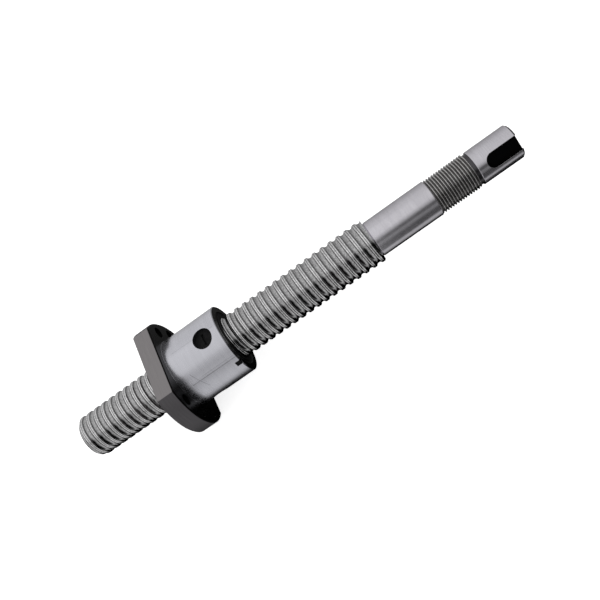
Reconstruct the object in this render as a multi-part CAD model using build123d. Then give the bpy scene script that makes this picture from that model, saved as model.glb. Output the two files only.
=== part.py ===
from build123d import *
import math
import os

# Ball screw assembly: a rolled 25 x 5 mm right-hand ball screw with a
# turned drive end, and a single flanged ball nut on it.
# All lengths are millimetres.
#
# Row frame: +X runs along the screw axis towards the keyed drive end,
# +Z is the normal of one of the flange flats, and the origin is the
# point where the screw axis meets the flange's mounting face.
# Angles (PSI) are measured about +X, from +Z towards -Y.

os.makedirs("parts", exist_ok=True)

# ---- ball track -------------------------------------------------------
LEAD = 5.0                # right-hand, single start
BALL_D = 3.175
R_PITCH = 12.9            # ball circle radius
R_SCREW = 12.3            # outside radius of the rolled screw
R_GROOVE_SCREW = 1.75     # screw groove radius
R_GROOVE_NUT = 1.78       # nut groove radius
R_BORE = 13.2             # bore of the nut between the grooves

# ---- screw shaft ------------------------------------------------------
X_LEFT = -64.5            # plain end of the rolled thread
X_SHOULDER = 121.5        # end of the rolled thread
X_JOURNAL = 158.0         # end of the bearing journal
X_THREAD = 182.5          # end of the locknut thread and its relief
X_END = 206.0             # end face of the keyed end
R_JOURNAL = 10.0
R_M20 = 9.84              # major radius of the M20 x 1.5 thread, crests slightly flattened
M20_PITCH = 1.5
M20_DEPTH = 0.92
RELIEF_W = 1.8
R_RELIEF = 8.8
R_DRIVE = 9.5
CH_LEFT = 1.8
CH_SHOULDER = 0.5
CH_END = 1.0
KEY_W = 8.0
KEY_DEPTH = 4.0
KEY_LEN = 18.5            # open at the end face, round at the closed end
PSI_KEY = 47.0

# ---- nut body ---------------------------------------------------------
R_FLANGE = 31.5
FLANGE_T = 10.0
FLATS = 48.0              # across the two flats
R_BODY = 20.0
BODY_L = 33.0
BODY_CH = 0.5
FLANGE_CH = 0.6
BOLT_PCD = 51.0
BOLT_R = 3.3
BOLT_SPREAD = 30.0        # either side of the +Y and -Y holes
R_CBORE = 16.2
CBORE_L = 4.0
LUBE_R = 2.5              # tapped M6 grease port on one flat
LUBE_L = 9.0
SLOT_W = 3.0              # key slot of the wiper in the front rim
SLOT_L = 3.3
PSI_SLOT = 69.5

# ---- ball return deflectors ------------------------------------------
DEFL_R = 5.5
DEFL_TOP = 17.5           # outer face, recessed below the body surface
DEFLECTORS = [(23.4, 6.0), (23.4 - LEAD * 4 / 3, 246.0), (23.4 - LEAD * 8 / 3, 126.0)]
CROSS_HALF = 21.0         # half angle of the crossover
CROSS_RISE = 1.25
R_CHANNEL = 1.85
BALLS_PER_CIRCUIT = 24

# ---- wipers -----------------------------------------------------------
R_WIPER_IN = 12.65
WIPER_T = 3.6
SPRING_R = 14.3
SPRING_WIRE_R = 0.45
SPRING_GROOVE = (13.45, 15.15, 1.5)   # inner radius, outer radius, depth
WIPER_LIP_R = 14.4
WIPER_LIP_T = 0.4

# local frame: local Z is the row's +X, local X is the row's +Z
ROW = Plane(origin=(0, 0, 0), x_dir=(0, 0, 1), z_dir=(1, 0, 0)).location


def cyl(r, z0, z1):
    return Pos(0, 0, (z0 + z1) / 2) * Cylinder(r, z1 - z0)


def ring(r_in, r_out, z0, z1):
    return cyl(r_out, z0, z1) - cyl(r_in, z0 - 1, z1 + 1)


def helix_phase():
    """Height of the ball track at PSI = 0, between 0 and one lead."""
    x, psi = DEFLECTORS[0]
    return (x - LEAD / 2 - LEAD * psi / 360.0) % LEAD


def track_tubes(radius, z_from, z_to):
    """Round tubes of one turn each, end to end along the ball track."""
    start = 45.0
    z0 = helix_phase() + LEAD * start / 360.0
    z0 += LEAD * math.floor((z_from - z0) / LEAD)
    tubes = []
    while z0 < z_to:
        path = Pos(0, 0, z0) * Rot(0, 0, start) * Helix(pitch=LEAD, height=LEAD, radius=R_PITCH)
        profile = Plane(origin=path @ 0, z_dir=path % 0) * Circle(radius)
        tubes.append(sweep(profile, path=path, is_frenet=True))
        z0 += LEAD
    return tubes


def v_grooves(r_major, depth, pitch, z_from, turns):
    """One-turn V grooves of a fine thread, end to end."""
    start = 45.0
    tools = []
    for k in range(turns):
        path = Pos(0, 0, z_from + pitch * k) * Rot(0, 0, start) * Helix(
            pitch=pitch, height=pitch, radius=r_major
        )
        o = path @ 0
        a = math.atan2(o.Y, o.X)

        def at(r, dz):
            return Vector(r * math.cos(a), r * math.sin(a), o.Z + dz)

        face = make_face(
            Polyline(
                at(r_major + 0.4, -0.83),
                at(r_major - depth, -0.14),
                at(r_major - depth, 0.14),
                at(r_major + 0.4, 0.83),
                close=True,
            )
        )
        tools.append(sweep(face, path=path, is_frenet=True))
    return tools


def polar(r, psi, z):
    a = math.radians(psi)
    return Vector(r * math.cos(a), r * math.sin(a), z)


def crossover_point(x_d, psi_d, s):
    """Ball centre in the crossover, s from 0 (high side) to 1 (low side)."""
    half = LEAD / 2 - LEAD * CROSS_HALF / 360.0
    blend = 10 * s**3 - 15 * s**4 + 6 * s**5
    z = x_d + half - 2 * half * blend
    r = R_PITCH + CROSS_RISE * math.sin(math.pi * s)
    return polar(r, psi_d - CROSS_HALF + 2 * CROSS_HALF * s, z)


def track_point(x_d, psi_d, phi):
    """Ball centre in the loaded turn, phi degrees after the deflector."""
    return polar(R_PITCH, psi_d + phi, x_d - LEAD / 2 + LEAD * phi / 360.0)


# ---- screw shaft ------------------------------------------------------
threaded = cyl(R_SCREW, X_LEFT, X_SHOULDER)
threaded = chamfer(threaded.edges().group_by(Axis.Z)[0], CH_LEFT)
threaded = chamfer(threaded.edges().group_by(Axis.Z)[-1], CH_SHOULDER)
threaded = threaded - track_tubes(R_GROOVE_SCREW, X_LEFT - 3, X_SHOULDER + 3)

m20 = cyl(R_M20, X_JOURNAL, X_THREAD)
m20 = m20 - v_grooves(R_M20, M20_DEPTH, M20_PITCH, X_JOURNAL + 0.9, 15)
m20 = m20 - ring(R_RELIEF, R_M20 + 3, X_THREAD - RELIEF_W, X_THREAD + 2)
m20 = m20 + cyl(R_RELIEF, X_THREAD - RELIEF_W, X_THREAD)

drive = Rot(0, 0, PSI_KEY - 67.5) * cyl(R_DRIVE, X_THREAD, X_END)
drive = chamfer(drive.edges().group_by(Axis.Z)[-1], CH_END)
key_floor = R_DRIVE - KEY_DEPTH
key_mid = X_END - KEY_LEN + KEY_W / 2
key_cut = Pos(key_floor + 10, 0, (key_mid + X_END + 2) / 2) * Box(20, KEY_W, X_END + 2 - key_mid)
key_cut += Pos(key_floor + 10, 0, key_mid) * Rot(0, 90, 0) * Cylinder(KEY_W / 2, 20)
drive = drive - Rot(0, 0, PSI_KEY) * key_cut

screw = threaded + cyl(R_JOURNAL, X_SHOULDER - 1, X_JOURNAL) + m20 + drive

# ---- nut body ---------------------------------------------------------
flange = cyl(R_FLANGE, -FLANGE_T, 0)
flange = flange & Box(FLATS, 4 * R_FLANGE, 4 * FLANGE_T)
flange = chamfer(flange.edges().group_by(Axis.Z)[0] + flange.edges().group_by(Axis.Z)[-1], FLANGE_CH)
body = Rot(0, 0, 20) * cyl(R_BODY, -1, BODY_L)
body = chamfer(body.edges().group_by(Axis.Z)[-1], BODY_CH)
nut = flange + body
for base in (90, 270):
    for off in (-BOLT_SPREAD, 0, BOLT_SPREAD):
        p = polar(BOLT_PCD / 2, base + off, 0)
        nut -= Pos(p.X, p.Y, -FLANGE_T / 2) * Cylinder(BOLT_R, FLANGE_T + 4)
nut -= cyl(R_BORE, -FLANGE_T - 1, BODY_L + 1)
nut -= cyl(R_CBORE, -FLANGE_T - 1, -FLANGE_T + CBORE_L)
nut -= cyl(R_CBORE, BODY_L - CBORE_L, BODY_L + 1)
# grease port from the flat opposite +Z, and the narrow drilling below it
nut -= Pos(-FLATS / 2 + LUBE_L / 2, 0, -FLANGE_T / 2 + 1.5) * Rot(0, 90, 0) * Cylinder(LUBE_R, LUBE_L)
nut -= Pos(-14.5, 0, -FLANGE_T / 2 + 1.5) * Rot(0, 90, 0) * Cylinder(1.2, 4.0)
# key slot of the front wiper
nut -= Rot(0, 0, PSI_SLOT) * Pos((R_CBORE + R_BODY) / 2, 0, BODY_L - SLOT_L / 2 + 0.5) * Box(
    R_BODY - R_CBORE + 4, SLOT_W, SLOT_L + 1
)
for x_d, psi_d in DEFLECTORS:
    nut -= Rot(0, 0, psi_d) * Pos(16.5, 0, x_d) * Rot(0, 90, 0) * Cylinder(DEFL_R, 11)
nut = nut - track_tubes(R_GROOVE_NUT, -FLANGE_T + CBORE_L - 3, BODY_L - CBORE_L + 3)

# ---- deflectors and balls --------------------------------------------
parts = {}
for i, (x_d, psi_d) in enumerate(DEFLECTORS, 1):
    plug = Rot(0, 0, psi_d) * Pos((12.0 + DEFL_TOP) / 2, 0, x_d) * Rot(0, 90, 0) * Cylinder(
        DEFL_R, DEFL_TOP - 12.0
    )
    plug = plug - cyl(R_BORE, x_d - 20, x_d + 20)
    pts = [track_point(x_d, psi_d, 360 - CROSS_HALF - 10)]
    pts += [crossover_point(x_d, psi_d, k / 8) for k in range(9)]
    pts += [track_point(x_d, psi_d, CROSS_HALF + 10)]
    channel = [Pos(p.X, p.Y, p.Z) * Sphere(R_CHANNEL) for p in pts]
    for a, b in zip(pts, pts[1:]):
        d = b - a
        channel.append(Plane(origin=(a + b) * 0.5, z_dir=d) * Cylinder(R_CHANNEL, d.length))
    # driving slot on the outer face
    slot = Rot(0, 0, psi_d) * Pos(DEFL_TOP, 0, x_d) * Box(1.6, 6.5, 1.2)
    parts[f"deflector_{i}"] = (plug - slot) - channel

    # balls evenly spaced along the closed circuit
    loop = [track_point(x_d, psi_d, CROSS_HALF + (360 - 2 * CROSS_HALF) * k / 720) for k in range(720)]
    loop += [crossover_point(x_d, psi_d, k / 240) for k in range(240)]
    lengths = [0.0]
    for a, b in zip(loop, loop[1:] + loop[:1]):
        lengths.append(lengths[-1] + (b - a).length)
    step = lengths[-1] / BALLS_PER_CIRCUIT
    balls = []
    j = 0
    for n in range(BALLS_PER_CIRCUIT):
        target = (n + 0.5) * step
        while lengths[j + 1] < target:
            j += 1
        t = (target - lengths[j]) / (lengths[j + 1] - lengths[j])
        a, b = loop[j], loop[(j + 1) % len(loop)]
        c = a + (b - a) * t
        balls.append(Pos(c.X, c.Y, c.Z) * Sphere(BALL_D / 2))
    parts[f"balls_circuit_{i}"] = balls


# ---- wipers and their garter springs ---------------------------------
def wiper(z_in, side):
    """Wiper ring in a counterbore. z_in is the counterbore floor, side is
    the direction the counterbore opens to."""
    z_out = z_in + side * WIPER_T
    lo, hi = min(z_in, z_out), max(z_in, z_out)
    w = ring(R_WIPER_IN, R_CBORE, lo, hi)
    # raised lip round the screw
    z_lip = z_out + side * WIPER_LIP_T
    w += ring(R_WIPER_IN, WIPER_LIP_R, min(z_out, z_lip), max(z_out, z_lip))
    g_in, g_out, g_d = SPRING_GROOVE
    z_g = z_in + side * g_d
    w -= ring(g_in, g_out, min(z_in - side, z_g), max(z_in - side, z_g))
    return w


front = wiper(BODY_L - CBORE_L, 1)
# tab that sits in the rim slot and keeps the wiper from turning
tab = Pos((R_CBORE - 1.0 + R_BODY - 0.6) / 2, 0, BODY_L - SLOT_L / 2 - 0.6) * Box(
    R_BODY - R_CBORE + 0.4, SLOT_W, SLOT_L - 1.2
)
front = front + (Rot(0, 0, PSI_SLOT) * tab - cyl(R_CBORE - 0.5, 0, BODY_L + 5))
rear = wiper(-FLANGE_T + CBORE_L, -1)


def spring(z_in, side):
    return Pos(0, 0, z_in + side * SPRING_GROOVE[2] / 2) * Torus(SPRING_R, SPRING_WIRE_R)


parts["wiper_front"] = front
parts["wiper_rear"] = rear
parts["garter_spring_front"] = spring(BODY_L - CBORE_L, 1)
parts["garter_spring_rear"] = spring(-FLANGE_T + CBORE_L, -1)
parts["nut_body"] = nut
parts["screw_shaft"] = screw

for name, shape in parts.items():
    if isinstance(shape, list):
        out = Compound(children=[s.solid().moved(ROW) for s in shape])
    else:
        solids = shape.solids()
        assert len(solids) == 1, (name, len(solids))
        out = solids[0].moved(ROW)
    export_step(out, f"parts/{name}.step")
    print(name, round(sum(s.volume for s in out.solids()), 2), len(out.faces()), out.is_valid)
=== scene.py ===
import bpy
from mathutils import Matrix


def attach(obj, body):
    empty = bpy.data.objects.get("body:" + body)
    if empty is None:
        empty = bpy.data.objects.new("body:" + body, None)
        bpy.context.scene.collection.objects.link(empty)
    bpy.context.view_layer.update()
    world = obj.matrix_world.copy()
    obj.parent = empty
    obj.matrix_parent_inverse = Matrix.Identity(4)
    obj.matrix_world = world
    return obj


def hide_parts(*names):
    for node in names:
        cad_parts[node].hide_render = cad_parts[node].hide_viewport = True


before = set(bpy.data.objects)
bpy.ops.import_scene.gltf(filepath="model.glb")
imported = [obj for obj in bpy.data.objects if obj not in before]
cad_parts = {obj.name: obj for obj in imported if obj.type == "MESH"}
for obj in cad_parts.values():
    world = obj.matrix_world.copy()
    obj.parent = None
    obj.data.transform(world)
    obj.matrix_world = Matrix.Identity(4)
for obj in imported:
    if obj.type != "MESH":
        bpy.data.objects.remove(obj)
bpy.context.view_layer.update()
import bpy, bmesh, math
from mathutils import Vector, Matrix

MM = 0.001

# ------------------------------------------------------------------ helpers
def nt_material(name):
    m = bpy.data.materials.new(name)
    m.use_nodes = True
    nt = m.node_tree
    nt.nodes.clear()
    out = nt.nodes.new("ShaderNodeOutputMaterial")
    bsdf = nt.nodes.new("ShaderNodeBsdfPrincipled")
    nt.links.new(bsdf.outputs["BSDF"], out.inputs["Surface"])
    return m, nt, bsdf


def node(nt, kind, **props):
    n = nt.nodes.new(kind)
    for k, v in props.items():
        setattr(n, k, v)
    return n


def math_node(nt, op, a=None, b=None, clamp=False):
    n = nt.nodes.new("ShaderNodeMath")
    n.operation = op
    n.use_clamp = clamp
    for i, v in enumerate((a, b)):
        if v is None:
            continue
        if isinstance(v, (int, float)):
            n.inputs[i].default_value = v
        else:
            nt.links.new(v, n.inputs[i])
    return n.outputs[0]


def ramp(nt, fac, stops):
    n = nt.nodes.new("ShaderNodeValToRGB")
    cr = n.color_ramp
    while len(cr.elements) > 1:
        cr.elements.remove(cr.elements[-1])
    cr.elements[0].position = stops[0][0]
    cr.elements[0].color = (*stops[0][1], 1)
    for p, c in stops[1:]:
        e = cr.elements.new(p)
        e.color = (*c, 1)
    nt.links.new(fac, n.inputs[0])
    return n.outputs[0]


def grey(v):
    return (v, v, v)


def axis_coords(nt):
    """x along the screw, radius and angle about it, all from object coordinates in metres."""
    tc = nt.nodes.new("ShaderNodeTexCoord")
    sep = nt.nodes.new("ShaderNodeSeparateXYZ")
    nt.links.new(tc.outputs["Object"], sep.inputs[0])
    x, y, z = sep.outputs
    r = math_node(nt, "SQRT", math_node(nt, "ADD", math_node(nt, "MULTIPLY", y, y), math_node(nt, "MULTIPLY", z, z)))
    ny = math_node(nt, "MULTIPLY", y, -1.0)
    a = math_node(nt, "ARCTAN2", ny, z)
    return tc.outputs["Object"], x, r, a


def combine(nt, x, y, z):
    n = nt.nodes.new("ShaderNodeCombineXYZ")
    for i, v in enumerate((x, y, z)):
        if isinstance(v, (int, float)):
            n.inputs[i].default_value = v
        else:
            nt.links.new(v, n.inputs[i])
    return n.outputs[0]


def noise(nt, vec, scale, detail=3.0, rough=0.55):
    n = nt.nodes.new("ShaderNodeTexNoise")
    n.inputs["Scale"].default_value = scale
    n.inputs["Detail"].default_value = detail
    n.inputs["Roughness"].default_value = rough
    nt.links.new(vec, n.inputs["Vector"])
    return n.outputs["Fac"]


def bump(nt, height, dist, strength, normal=None):
    n = nt.nodes.new("ShaderNodeBump")
    n.inputs["Distance"].default_value = dist
    n.inputs["Strength"].default_value = strength
    nt.links.new(height, n.inputs["Height"])
    if normal is not None:
        nt.links.new(normal, n.inputs["Normal"])
    return n.outputs[0]


def bevel_normal(nt, radius):
    n = nt.nodes.new("ShaderNodeBevel")
    n.samples = 6
    n.inputs["Radius"].default_value = radius
    return n.outputs[0]


# ---------------------------------------------------------------- materials
def ground_steel(name, base, rough, groove=0.00002, tint=(1.0, 0.995, 1.03), circ=True, bevel=0.0002):
    """Cylindrically ground steel: fine rings round the axis, faint handling marks."""
    m, nt, b = nt_material(name)
    obj, x, r, a = axis_coords(nt)
    b.inputs["Metallic"].default_value = 1.0
    # fine rings: fast along x, slow round the axis
    sx = math_node(nt, "MULTIPLY", x, 5200.0)
    sa = math_node(nt, "MULTIPLY", a, 1.6)
    rings = noise(nt, combine(nt, sx, sa, math_node(nt, "MULTIPLY", r, 900.0)), 1.0, 4.0, 0.6)
    broad = noise(nt, combine(nt, math_node(nt, "MULTIPLY", x, 420.0), math_node(nt, "MULTIPLY", a, 0.9), 0.0), 1.0, 3.0)
    cloud = noise(nt, obj, 70.0, 4.0, 0.6)
    smear = noise(nt, obj, 260.0, 5.0, 0.7)
    mixv = math_node(nt, "ADD", math_node(nt, "MULTIPLY", rings, 0.45), math_node(nt, "ADD", math_node(nt, "MULTIPLY", broad, 0.3), math_node(nt, "MULTIPLY", cloud, 0.25)))
    lo = tuple(base * t * 0.86 for t in tint)
    hi = tuple(min(1.0, base * t * 1.10) for t in tint)
    col = ramp(nt, mixv, [(0.3, lo), (0.7, hi)])
    nt.links.new(col, b.inputs["Base Color"])
    rg = ramp(nt, math_node(nt, "ADD", math_node(nt, "MULTIPLY", smear, 0.5), math_node(nt, "MULTIPLY", rings, 0.5)), [(0.3, grey(rough * 0.86)), (0.75, grey(rough * 1.22))])
    nt.links.new(rg, b.inputs["Roughness"])
    bn = bevel_normal(nt, bevel)
    nt.links.new(bump(nt, rings, groove, 0.35, bump(nt, smear, 0.00002, 0.15, bn)), b.inputs["Normal"])
    return m, nt, b


def plastic(name, col, rough):
    m, nt, b = nt_material(name)
    obj, x, r, a = axis_coords(nt)
    n1 = noise(nt, obj, 900.0, 4.0, 0.6)
    n2 = noise(nt, obj, 120.0, 3.0, 0.5)
    nt.links.new(ramp(nt, n2, [(0.3, tuple(c * 0.7 for c in col)), (0.75, tuple(c * 1.5 for c in col))]), b.inputs["Base Color"])
    nt.links.new(ramp(nt, n1, [(0.3, grey(rough * 0.8)), (0.7, grey(min(1.0, rough * 1.2)))]), b.inputs["Roughness"])
    nt.links.new(bump(nt, n1, 0.00003, 0.4, bevel_normal(nt, 0.00015)), b.inputs["Normal"])
    b.inputs["Specular IOR Level"].default_value = 0.22
    return m


def paint_shade_and_highlight_by_radius(nt, b, stops, speckle=0.0):
    """Painted shade and highlights: multiply the colour by a value that follows the radius (mm)."""
    obj, x, r, a = axis_coords(nt)
    lo, hi = stops[0][0], stops[-1][0]
    f = math_node(nt, "DIVIDE", math_node(nt, "SUBTRACT", math_node(nt, "MULTIPLY", r, 1000.0), lo), hi - lo, clamp=True)
    tint = ramp(nt, f, [((p - lo) / (hi - lo), grey(v)) for p, v in stops])
    if speckle:
        spots = noise(nt, obj, 1150.0, 4.0, 0.65)
        dots = ramp(nt, spots, [(0.40, grey(1.0 - speckle)), (0.58, grey(1.0))])
        m2 = nt.nodes.new("ShaderNodeMix")
        m2.data_type = "RGBA"
        m2.blend_type = "MULTIPLY"
        m2.inputs[0].default_value = 1.0
        nt.links.new(tint, m2.inputs[6])
        nt.links.new(dots, m2.inputs[7])
        tint = m2.outputs[2]
    mx = nt.nodes.new("ShaderNodeMix")
    mx.data_type = "RGBA"
    mx.blend_type = "MULTIPLY"
    mx.inputs[0].default_value = 1.0
    nt.links.new(b.inputs["Base Color"].links[0].from_socket, mx.inputs[6])
    nt.links.new(tint, mx.inputs[7])
    nt.links.new(mx.outputs[2], b.inputs["Base Color"])


nut_steel, nt, nb = ground_steel("nut_ground_steel", 0.60, 0.25, tint=(0.985, 0.985, 1.06))
# the flange's outside is left as turned and hardened: darker and duller than the ground body
obj_c, x, r, a = axis_coords(nt)
flange_mask = math_node(nt, "MULTIPLY", math_node(nt, "LESS_THAN", x, -0.00002), math_node(nt, "GREATER_THAN", r, 0.0204))
flange_mask = math_node(nt, "MAXIMUM", flange_mask, math_node(nt, "LESS_THAN", x, -0.00985))
turned = noise(nt, combine(nt, math_node(nt, "MULTIPLY", x, 2600.0), math_node(nt, "MULTIPLY", a, 2.0), 0.0), 1.0, 4.0, 0.6)
patch = noise(nt, obj_c, 160.0, 5.0, 0.65)
dull_mix = math_node(nt, "ADD", math_node(nt, "MULTIPLY", turned, 0.5), math_node(nt, "MULTIPLY", patch, 0.5))
dull_flat = ramp(nt, dull_mix, [(0.3, (0.245, 0.232, 0.235)), (0.7, (0.330, 0.314, 0.318))])
# painted shade: the round rim of the flange gets a darker copy of the flats' colour
rim_painted_shade = ramp(nt, dull_mix, [(0.3, (0.105, 0.100, 0.105)), (0.7, (0.165, 0.158, 0.166))])
# painted shade: near-black colour for the faces and bores of the nut that lie in shade
painted_shade_black = ramp(nt, dull_mix, [(0.3, grey(0.006)), (0.7, grey(0.016))])
sepz = nt.nodes.new("ShaderNodeSeparateXYZ")
nt.links.new(obj_c, sepz.inputs[0])
on_shaded_rim = math_node(nt, "MULTIPLY", math_node(nt, "LESS_THAN", math_node(nt, "ABSOLUTE", sepz.outputs[2]), 0.02388), math_node(nt, "GREATER_THAN", r, 0.0308))
shaded_mount_face = math_node(nt, "MULTIPLY", math_node(nt, "GREATER_THAN", x, -0.0005), math_node(nt, "MULTIPLY", math_node(nt, "LESS_THAN", x, 0.0003), math_node(nt, "GREATER_THAN", r, 0.02005)))
shaded_end_face = math_node(nt, "MULTIPLY", math_node(nt, "GREATER_THAN", x, 0.03285), math_node(nt, "LESS_THAN", r, 0.0196))


def pick(nt, fac, a, b):
    n = nt.nodes.new("ShaderNodeMix")
    n.data_type = "RGBA"
    for i, v in ((0, fac), (6, a), (7, b)):
        nt.links.new(v, n.inputs[i])
    return n.outputs[2]


# turned finish on the flats, painted shade on the round rim
dull_and_shade = pick(nt, on_shaded_rim, dull_flat, rim_painted_shade)
# painted shade: bores and recesses inside the flange, under 30 mm radius, are painted near-black
shaded_hole_mask = math_node(nt, "MULTIPLY", math_node(nt, "GREATER_THAN", x, -0.0096), math_node(nt, "MULTIPLY", math_node(nt, "LESS_THAN", r, 0.0300), math_node(nt, "LESS_THAN", math_node(nt, "ABSOLUTE", sepz.outputs[2]), 0.0234)))
dull_and_shade = pick(nt, shaded_hole_mask, dull_and_shade, painted_shade_black)
for sock, val in (("Base Color", dull_and_shade), ("Roughness", ramp(nt, patch, [(0.3, grey(0.48)), (0.7, grey(0.62))]))):
    old = nb.inputs[sock].links[0].from_socket
    mx = nt.nodes.new("ShaderNodeMix")
    mx.data_type = "RGBA"
    nt.links.new(flange_mask, mx.inputs[0])
    nt.links.new(old, mx.inputs[6])
    nt.links.new(val, mx.inputs[7])
    nt.links.new(mx.outputs[2], nb.inputs[sock])
# handling scratches on the ground body: (angle, drift in rad per m, start, end, width, depth), metres and radians
marks = None
for ang0, drift, xa, xb, wid, deep in ((math.radians(56.5), 0.3, 0.0055, 0.0324, 0.00026, 0.62), (math.radians(52.5), 0.3, 0.0120, 0.0318, 0.00018, 0.34),
                                       (math.radians(39.4), 132.0, 0.0078, 0.0122, 0.00055, 0.52), (math.radians(-2.0), 0.8, 0.0050, 0.0310, 0.00035, 0.16)):
    centre = math_node(nt, "ADD", math_node(nt, "MULTIPLY", math_node(nt, "SUBTRACT", x, xa), drift), ang0)
    gap = math_node(nt, "MULTIPLY", math_node(nt, "ABSOLUTE", math_node(nt, "SUBTRACT", a, centre)), 0.02)
    line = math_node(nt, "SUBTRACT", 1.0, math_node(nt, "DIVIDE", gap, wid), clamp=True)
    span = math_node(nt, "MULTIPLY", math_node(nt, "GREATER_THAN", x, xa), math_node(nt, "LESS_THAN", x, xb))
    line = math_node(nt, "MULTIPLY", math_node(nt, "MULTIPLY", line, span), deep)
    marks = line if marks is None else math_node(nt, "MAXIMUM", marks, line)
worn = noise(nt, obj_c, 420.0, 4.0, 0.65)
marks = math_node(nt, "MULTIPLY", marks, math_node(nt, "MULTIPLY", worn, 1.9))
on_body = math_node(nt, "MULTIPLY", math_node(nt, "GREATER_THAN", r, 0.0198), math_node(nt, "LESS_THAN", r, 0.0202))
keep = math_node(nt, "SUBTRACT", 1.0, math_node(nt, "MULTIPLY", marks, on_body), clamp=True)
scratch_mix = nt.nodes.new("ShaderNodeVectorMath")
scratch_mix.operation = "SCALE"
nt.links.new(nb.inputs["Base Color"].links[0].from_socket, scratch_mix.inputs[0])
nt.links.new(keep, scratch_mix.inputs["Scale"])
nt.links.new(scratch_mix.outputs[0], nb.inputs["Base Color"])
# painted shade: the flange's mounting face and the nut's end face are painted near-black
nt.links.new(pick(nt, math_node(nt, "MAXIMUM", shaded_mount_face, shaded_end_face), nb.inputs["Base Color"].links[0].from_socket, painted_shade_black), nb.inputs["Base Color"])

screw_steel, snt, sb = ground_steel("journal_ground_steel", 0.64, 0.21, tint=(1.0, 0.975, 1.04))
jo, jx, jr, ja = axis_coords(snt)
# painted shade: the relief undercut ahead of the drive stub, and everything past 180.6 mm under 9.25 mm radius, is
# darkened to 14 %
relief_shade_mask = math_node(snt, "MULTIPLY", math_node(snt, "GREATER_THAN", jx, 0.1806), math_node(snt, "LESS_THAN", jr, 0.00925))
relief_shade_keep = math_node(snt, "SUBTRACT", 1.0, math_node(snt, "MULTIPLY", relief_shade_mask, 0.86))
relief_shade_mix = snt.nodes.new("ShaderNodeVectorMath")
relief_shade_mix.operation = "SCALE"
snt.links.new(sb.inputs["Base Color"].links[0].from_socket, relief_shade_mix.inputs[0])
snt.links.new(relief_shade_keep, relief_shade_mix.inputs["Scale"])
snt.links.new(relief_shade_mix.outputs[0], sb.inputs["Base Color"])
thread_steel, tnt, tb = ground_steel("rolled_thread_steel", 0.95, 0.14, tint=(1.0, 0.99, 1.01), groove=0.00003)
# painted light on the ball thread: the groove, a band just inside each crest edge and the crest middle are darkened
# as painted shade; the crest edges stay bright as painted highlights
paint_shade_and_highlight_by_radius(tnt, tb, [(11.1, 0.52), (11.5, 0.58), (11.64, 0.26), (11.94, 0.24), (12.04, 1.0), (12.22, 1.0), (12.238, 0.34), (12.262, 0.62), (12.286, 1.0), (12.3, 1.0)], speckle=0.36)
fine_steel, fnt2, fb2 = ground_steel("fine_thread_steel", 0.92, 0.26, tint=(1.03, 0.99, 0.98), groove=0.00003)
# painted shade: the fine thread darkens towards its root
paint_shade_and_highlight_by_radius(fnt2, fb2, [(8.9, 0.16), (9.35, 0.36), (9.7, 0.66), (9.84, 0.78)], speckle=0.25)
# painted shade: the keyway's cut faces are near-black steel
keyway_shade_steel, _, _ = ground_steel("keyway_painted_shade_steel", 0.006, 0.45, tint=(1.0, 1.0, 1.05), groove=0.00002)
black_nylon = plastic("black_nylon", (0.0045, 0.0045, 0.005), 0.62)
black_acetal = plastic("black_acetal", (0.0022, 0.0022, 0.0024), 0.7)
ball_steel, _, _ = ground_steel("ball_chrome_steel", 0.8, 0.08, groove=0.000002)
wire_steel, _, _ = ground_steel("spring_wire", 0.55, 0.3)

LOOK = {
    "nut_body": nut_steel, "screw_shaft": screw_steel,
    "deflector_1": black_acetal, "deflector_2": black_acetal, "deflector_3": black_acetal,
    "balls_circuit_1": ball_steel, "balls_circuit_2": ball_steel, "balls_circuit_3": ball_steel,
    "wiper_front": black_nylon, "wiper_rear": black_nylon,
    "garter_spring_front": wire_steel, "garter_spring_rear": wire_steel,
}
for name, mat in LOOK.items():
    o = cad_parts[name]
    o.data.materials.clear()
    o.data.materials.append(mat)

# ------------------------------------------------------- screw shaft meshes
LEAD = 5.0
R_PITCH, R_OUT, R_GROOVE = 12.9, 12.3, 1.75
PHASE = (23.4 - 2.5 - 5.0 * 6.0 / 360.0) % 5.0
X_LEFT, X_SHOULDER, X_JOURNAL, X_THREAD, X_END = -64.5, 121.5, 158.0, 182.5, 206.0
R_M20, R_DRIVE, KEY_W, KEY_DEPTH, KEY_LEN, PSI_KEY = 9.84, 9.5, 8.0, 4.0, 18.5, 47.0


def vert(x, r, ang):
    return (x * MM, -r * math.sin(ang) * MM, r * math.cos(ang) * MM)


def finish_mesh(name, bm, mats, smooth_deg=32.0):
    bmesh.ops.remove_doubles(bm, verts=bm.verts, dist=2e-7)
    bmesh.ops.dissolve_degenerate(bm, edges=bm.edges, dist=2e-7)
    bmesh.ops.recalc_face_normals(bm, faces=bm.faces)
    for f in bm.faces:
        f.smooth = True
    lim = math.radians(smooth_deg)
    for e in bm.edges:
        e.smooth = not (len(e.link_faces) == 2 and e.calc_face_angle(0.0) > lim)
    me = bpy.data.meshes.new(name)
    bm.to_mesh(me)
    bm.free()
    for m in mats:
        me.materials.append(m)
    o = bpy.data.objects.new(name, me)
    bpy.context.scene.collection.objects.link(o)
    return o


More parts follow.
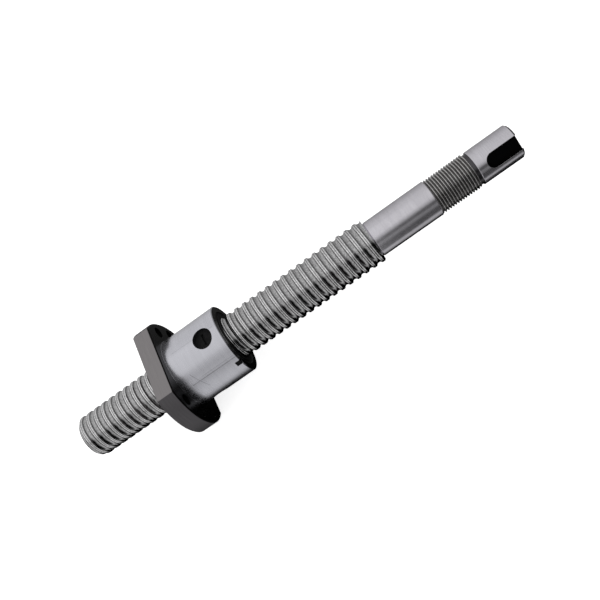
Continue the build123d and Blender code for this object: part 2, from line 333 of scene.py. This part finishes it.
def helical(name, prof, lead, phase, x0, x1, J, limit, cap0, cap1, mats):
    """Threaded length between x0 and x1. prof is one lead of (u, r); limit(x) is
    the largest radius at x; cap0 and cap1 are the inner radii of the end faces."""
    n = len(prof)
    us = [p[0] for p in prof] + [prof[0][0] + lead]
    rs = [p[1] for p in prof] + [prof[0][1]]

    def r_at(u):
        u = (u - us[0]) % lead + us[0]
        for i in range(n):
            if u <= us[i + 1]:
                t = (u - us[i]) / max(us[i + 1] - us[i], 1e-9)
                return rs[i] + (rs[i + 1] - rs[i]) * t
        return rs[-1]

    k0 = math.floor((x0 - phase) / lead) - 2
    k1 = math.ceil((x1 - phase) / lead) + 1
    rows = []
    bm = bmesh.new()
    for k in range(k0, k1 + 2):
        for m in range(n):
            row = []
            for j in range(J):
                x = phase + lead * k + us[m] + lead * j / J
                ang = 2 * math.pi * j / J
                if x < x0 or x > x1:
                    x = min(max(x, x0), x1)
                    r = r_at(x - phase - lead * j / J)
                else:
                    r = rs[m]
                row.append(bm.verts.new(vert(x, min(r, limit(x)), ang)))
            rows.append(row)
    for i in range(len(rows) - 1):
        for j in range(J):
            if j < J - 1:
                q = (rows[i][j], rows[i][j + 1], rows[i + 1][j + 1], rows[i + 1][j])
            else:
                if i + 1 + n >= len(rows):
                    continue
                q = (rows[i][j], rows[i + n][0], rows[i + n + 1][0], rows[i + 1][j])
            bm.faces.new(q)
    for x, cap in ((x0, cap0), (x1, cap1)):
        ring = []
        inner = []
        for j in range(J):
            ang = 2 * math.pi * j / J
            r = min(r_at(x - phase - lead * j / J), limit(x))
            ring.append(bm.verts.new(vert(x, r, ang)))
            inner.append(bm.verts.new(vert(x, cap, ang)) if cap else None)
        centre = None if cap else bm.verts.new(vert(x, 0, 0))
        for j in range(J):
            jn = (j + 1) % J
            if cap:
                cf = bm.faces.new((ring[j], ring[jn], inner[jn], inner[j]))
            else:
                cf = bm.faces.new((ring[j], ring[jn], centre))
            cf.material_index = 1
    return finish_mesh(name, bm, mats)


# rolled ball thread: groove arc, small rounded crest edges, flat crest
half = math.sqrt(R_GROOVE**2 - (R_PITCH - R_OUT) ** 2)
prof = []
N_ARC = 14
a_max = math.asin((half - 0.20) / R_GROOVE)
for i in range(N_ARC + 1):
    t = -a_max + 2 * a_max * i / N_ARC
    prof.append((R_GROOVE * math.sin(t), R_PITCH - R_GROOVE * math.cos(t)))
prof += [(half - 0.06, R_OUT - 0.17), (half + 0.06, R_OUT - 0.07), (half + 0.20, R_OUT - 0.015), (half + 0.32, R_OUT)]
prof += [(half + 0.46, R_OUT - 0.012), (half + 0.66, R_OUT - 0.052), (2.5, R_OUT - 0.06), (LEAD - half - 0.66, R_OUT - 0.052), (LEAD - half - 0.46, R_OUT - 0.012)]
prof += [(LEAD - half - 0.32, R_OUT), (LEAD - half - 0.20, R_OUT - 0.015), (LEAD - half - 0.06, R_OUT - 0.07), (LEAD - half + 0.06, R_OUT - 0.17)]


def thread_limit(x):
    return min(R_OUT, 10.5 + (x - X_LEFT), R_OUT - 0.5 + (X_SHOULDER - x))


ball_thread = helical("ball_thread", prof, LEAD, PHASE, X_LEFT, X_SHOULDER, 120, thread_limit, 0, 9.9, [thread_steel, screw_steel])

fine = [(-0.14, R_M20 - 0.90), (0.0, R_M20 - 0.92), (0.14, R_M20 - 0.90), (0.60, R_M20 - 0.06), (0.66, R_M20), (0.84, R_M20), (0.90, R_M20 - 0.06)]


def fine_limit(x):
    return min(R_M20, 9.4 + (X_THREAD - 1.8 - x), 9.3 + (x - X_JOURNAL))


fine_thread = helical("locknut_thread", fine, 1.5, X_JOURNAL + 0.45, X_JOURNAL, X_THREAD - 1.8, 120, fine_limit, 8.0, 8.0, [fine_steel, fine_steel])


def lathe(name, pts, mats, J=144):
    """Turned solid from (x, r) points, closed on the axis at both ends."""
    bm = bmesh.new()
    rings = []
    for x, r in pts:
        if r <= 1e-6:
            rings.append([bm.verts.new(vert(x, 0, 0))])
        else:
            rings.append([bm.verts.new(vert(x, r, 2 * math.pi * j / J)) for j in range(J)])
    for p, q in zip(rings, rings[1:]):
        for j in range(J):
            jn = (j + 1) % J
            if len(p) == 1:
                bm.faces.new((p[0], q[jn], q[j]))
            elif len(q) == 1:
                bm.faces.new((p[j], p[jn], q[0]))
            else:
                bm.faces.new((p[j], p[jn], q[jn], q[j]))
    return finish_mesh(name, bm, mats)


journal = lathe("bearing_journal", [(X_SHOULDER - 0.5, 0), (X_SHOULDER - 0.5, 9.7), (X_SHOULDER, 9.7), (X_SHOULDER + 0.35, 9.72), (X_SHOULDER + 0.8, 10.0), (X_SHOULDER + 0.86, 10.0), (X_SHOULDER + 1.0, 10.0)]
                + [(X_SHOULDER + 0.8 + 3.5 * i, 10.0) for i in range(1, 11)]
                + [(X_JOURNAL - 0.56, 10.0), (X_JOURNAL - 0.5, 10.0), (X_JOURNAL - 0.32, 9.97), (X_JOURNAL - 0.05, 9.7), (X_JOURNAL, 9.65), (X_JOURNAL, 8.5), (X_JOURNAL, 0)], [screw_steel])

drive = lathe("drive_end", [(X_THREAD - 1.9, 0), (X_THREAD - 1.9, 8.8), (X_THREAD, 8.8), (X_THREAD + 0.01, 9.3), (X_THREAD + 0.2, R_DRIVE), (X_THREAD + 0.26, R_DRIVE), (X_THREAD + 0.4, R_DRIVE)]
              + [(X_THREAD + 0.2 + 3.0 * i, R_DRIVE) for i in range(1, 8)]
              + [(X_END - 1.2, R_DRIVE), (X_END - 1.08, R_DRIVE), (X_END - 0.95, R_DRIVE - 0.05), (X_END - 0.06, R_DRIVE - 0.94), (X_END, R_DRIVE - 1.05), (X_END, 4.0), (X_END, 0)], [screw_steel, keyway_shade_steel], J=192)
# keyway cutter: round at the closed end, open past the end face
bm = bmesh.new()
kr = KEY_W / 2
key_mid = X_END - KEY_LEN + kr
outline = [(key_mid + kr * math.cos(math.pi / 2 + math.pi * i / 24), kr * math.sin(math.pi / 2 + math.pi * i / 24)) for i in range(25)]
outline += [(X_END + 3, -kr), (X_END + 3, kr)]
ka = math.radians(PSI_KEY)
n_dir = Vector((0, -math.sin(ka), math.cos(ka)))
t_dir = Vector((1, 0, 0)).cross(n_dir)
lo = [bm.verts.new((Vector((px, 0, 0)) + t_dir * py + n_dir * (R_DRIVE - KEY_DEPTH)) * MM) for px, py in outline]
hi = [bm.verts.new((Vector((px, 0, 0)) + t_dir * py + n_dir * 14.0) * MM) for px, py in outline]
bm.faces.new(lo)
bm.faces.new(hi[::-1])
for i in range(len(outline)):
    j = (i + 1) % len(outline)
    bm.faces.new((lo[i], lo[j], hi[j], hi[i]))
bmesh.ops.recalc_face_normals(bm, faces=bm.faces)
for f in bm.faces:
    f.material_index = 1
cme = bpy.data.meshes.new("keyway_cutter")
bm.to_mesh(cme)
bm.free()
cme.materials.append(screw_steel)
cme.materials.append(keyway_shade_steel)
cutter = bpy.data.objects.new("keyway_cutter", cme)
bpy.context.scene.collection.objects.link(cutter)
md = drive.modifiers.new("keyway", "BOOLEAN")
md.operation = "DIFFERENCE"
md.solver = "EXACT"
md.object = cutter
bpy.context.view_layer.update()
dg = bpy.context.evaluated_depsgraph_get()
cut = bpy.data.meshes.new_from_object(drive.evaluated_get(dg))
drive.modifiers.clear()
drive.data = cut
bpy.data.objects.remove(cutter)
bm = bmesh.new()
bm.from_mesh(cut)
for f in bm.faces:
    f.smooth = True
for e in bm.edges:
    e.smooth = not (len(e.link_faces) == 2 and e.calc_face_angle(0.0) > math.radians(32))
bm.to_mesh(cut)
bm.free()

for o in (ball_thread, fine_thread, journal, drive):
    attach(o, "screw")
    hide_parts("screw_shaft")

# -------------------------------------------------------------------- floor
bm = bmesh.new()
bmesh.ops.create_grid(bm, x_segments=2, y_segments=2, size=3.0)
me = bpy.data.meshes.new("floor")
bm.to_mesh(me)
bm.free()
floor = bpy.data.objects.new("floor", me)
bpy.context.scene.collection.objects.link(floor)
floor.location = (0.06, 0, -0.0242)
fm, fnt, fb = nt_material("pale_floor")
fb.inputs["Base Color"].default_value = (0.9, 0.9, 0.9, 1)
fb.inputs["Roughness"].default_value = 0.9
fb.inputs["Emission Color"].default_value = (1, 1, 1, 1)
fb.inputs["Emission Strength"].default_value = 0.80
me.materials.append(fm)
floor.visible_glossy = False
floor.visible_diffuse = False

# pale studio walls far behind the object, closed over the top
bm = bmesh.new()
bmesh.ops.create_uvsphere(bm, u_segments=48, v_segments=24, radius=2.9)
me = bpy.data.meshes.new("backdrop")
bm.to_mesh(me)
bm.free()
backdrop = bpy.data.objects.new("backdrop", me)
bpy.context.scene.collection.objects.link(backdrop)
backdrop.location = (0.06, 0, 0)
me.materials.append(fm)
for o in (backdrop,):
    o.visible_glossy = False
    o.visible_diffuse = False
    o.visible_shadow = False

# ------------------------------------------------------------------- camera
CAM_FOOT = 0.12397      # where on the axis the camera's perpendicular lands
CAM_DIST = 0.35638      # from the axis
CAM_PSI = 33.04
CAM_YAW = 8.141
CAM_PITCH = -0.589
CAM_ROLL = 35.163
CAM_F = 692.5     # focal length in pixels of a 600 pixel frame

def rot(v, axis, deg):
    return Matrix.Rotation(math.radians(deg), 3, axis) @ v

psi = math.radians(CAM_PSI)
w = Vector((0, -math.sin(psi), math.cos(psi)))
es = Vector((1, 0, 0))
eu = w.cross(es)
pos = Vector((CAM_FOOT, 0, 0)) + CAM_DIST * w
back = rot(w, eu, CAM_YAW)
e1 = rot(es, eu, CAM_YAW)
back = rot(back, e1, CAM_PITCH)
e2 = rot(eu, e1, CAM_PITCH)
ro = math.radians(CAM_ROLL)
right = math.cos(ro) * e1 - math.sin(ro) * e2
up = math.sin(ro) * e1 + math.cos(ro) * e2
cam_data = bpy.data.cameras.new("camera")
cam = bpy.data.objects.new("camera", cam_data)
bpy.context.scene.collection.objects.link(cam)
M = Matrix.Identity(4)
for i, v in enumerate((right, up, back)):
    for j in range(3):
        M[j][i] = v[j]
M.translation = pos
cam.matrix_world = M
cam_data.sensor_width = 36.0
cam_data.sensor_fit = "HORIZONTAL"
cam_data.lens = CAM_F / 600.0 * 36.0
cam_data.clip_start = 0.01
cam_data.clip_end = 20
bpy.context.scene.camera = cam

# ------------------------------------------------------------------- lights
target = Vector((0.06, 0, 0))

def area(name, direction, dist, size, power, size_y=None):
    d = bpy.data.lights.new(name, "AREA")
    d.shape = "RECTANGLE"
    d.size = size
    d.size_y = size_y or size
    d.energy = power
    o = bpy.data.objects.new(name, d)
    bpy.context.scene.collection.objects.link(o)
    direction = direction.normalized()
    o.location = target + direction * dist
    o.rotation_euler = (-direction).to_track_quat("-Z", "Y").to_euler()
    return o

# directions in the picture's own frame: es along the screw, eu up across it, w towards the front
area("key", 0.9 * w + 0.55 * eu - 0.5 * es, 1.1, 1.4, 0.8)

# soft studio surround: bright panels in front, above and to the left, dark below and to the right
world = bpy.data.worlds.new("world")
bpy.context.scene.world = world
world.use_nodes = True
wn = world.node_tree
bg = wn.nodes["Background"]
tcw = wn.nodes.new("ShaderNodeTexCoord")


def dot(v):
    d = wn.nodes.new("ShaderNodeVectorMath")
    d.operation = "DOT_PRODUCT"
    wn.links.new(tcw.outputs["Generated"], d.inputs[0])
    d.inputs[1].default_value = v
    return d.outputs["Value"]


phi = math_node(wn, "ARCTAN2", dot(eu), dot(w))
fac = math_node(wn, "ADD", math_node(wn, "DIVIDE", phi, 2 * math.pi), 0.5)


def pos_of(deg):
    return deg / 360.0 + 0.5


def map_range(v, a, b, c, d):
    n = wn.nodes.new("ShaderNodeMapRange")
    n.interpolation_type = "SMOOTHSTEP"
    n.inputs["From Min"].default_value = a
    n.inputs["From Max"].default_value = b
    n.inputs["To Min"].default_value = c
    n.inputs["To Max"].default_value = d
    wn.links.new(v, n.inputs["Value"])
    return n.outputs[0]


def around(stops):
    return ramp(wn, fac, [(pos_of(d), grey(v)) for d, v in stops])


# seen from the nut's end the surround is an even soft tent; towards the drive end it has a dark
# gap low in front, and below the screw it goes black
along = dot(es)
panel_a = around([(-180, 0.0), (-132, 0.0), (-120, 0.40), (-106, 0.72), (-80, 0.70), (-62, 0.62), (-48, 0.46), (-38, 0.68), (-28, 0.54), (0, 0.72), (20, 0.74), (80, 0.80), (120, 0.76), (160, 0.45), (179, 0.05)])
panel_b = around([(-180, 0.0), (-136, 0.0), (-124, 0.44), (-104, 0.58), (-92, 0.09), (-62, 0.06), (-50, 0.22), (-40, 0.26), (-31, 0.07), (-20, 0.10), (-6, 0.58), (8, 0.74), (40, 0.76), (80, 0.70), (120, 0.50), (160, 0.30), (179, 0.05)])
low = math_node(wn, "MAXIMUM", map_range(phi, -0.30, 0.30, 0.0, 1.0), map_range(phi, -1.78, -1.58, 1.0, 0.0))
fall_low = map_range(along, 0.22, 0.50, 1.0, 0.0)
fall_high = map_range(along, 0.30, 0.95, 1.0, 0.42)
blend = wn.nodes.new("ShaderNodeMix")
blend.data_type = "RGBA"
wn.links.new(map_range(along, -0.10, -0.02, 0.0, 1.0), blend.inputs[0])
wn.links.new(panel_a, blend.inputs[6])
wn.links.new(panel_b, blend.inputs[7])
panel = blend.outputs[2]
fall = wn.nodes.new("ShaderNodeMix")
fall.data_type = "FLOAT"
wn.links.new(low, fall.inputs[0])
wn.links.new(fall_low, fall.inputs[2])
wn.links.new(fall_high, fall.inputs[3])
vm = wn.nodes.new("ShaderNodeVectorMath")
vm.operation = "SCALE"
wn.links.new(panel, vm.inputs[0])
under = math_node(wn, "MAXIMUM", map_range(along, 0.09, 0.17, 1.0, 0.0), map_range(phi, -2.05, -1.90, 0.0, 1.0))
wn.links.new(math_node(wn, "MULTIPLY", fall.outputs[0], under), vm.inputs["Scale"])
wn.links.new(vm.outputs[0], bg.inputs["Color"])
bg.inputs["Strength"].default_value = 1.0

bpy.context.scene.view_settings.view_transform = "Standard"
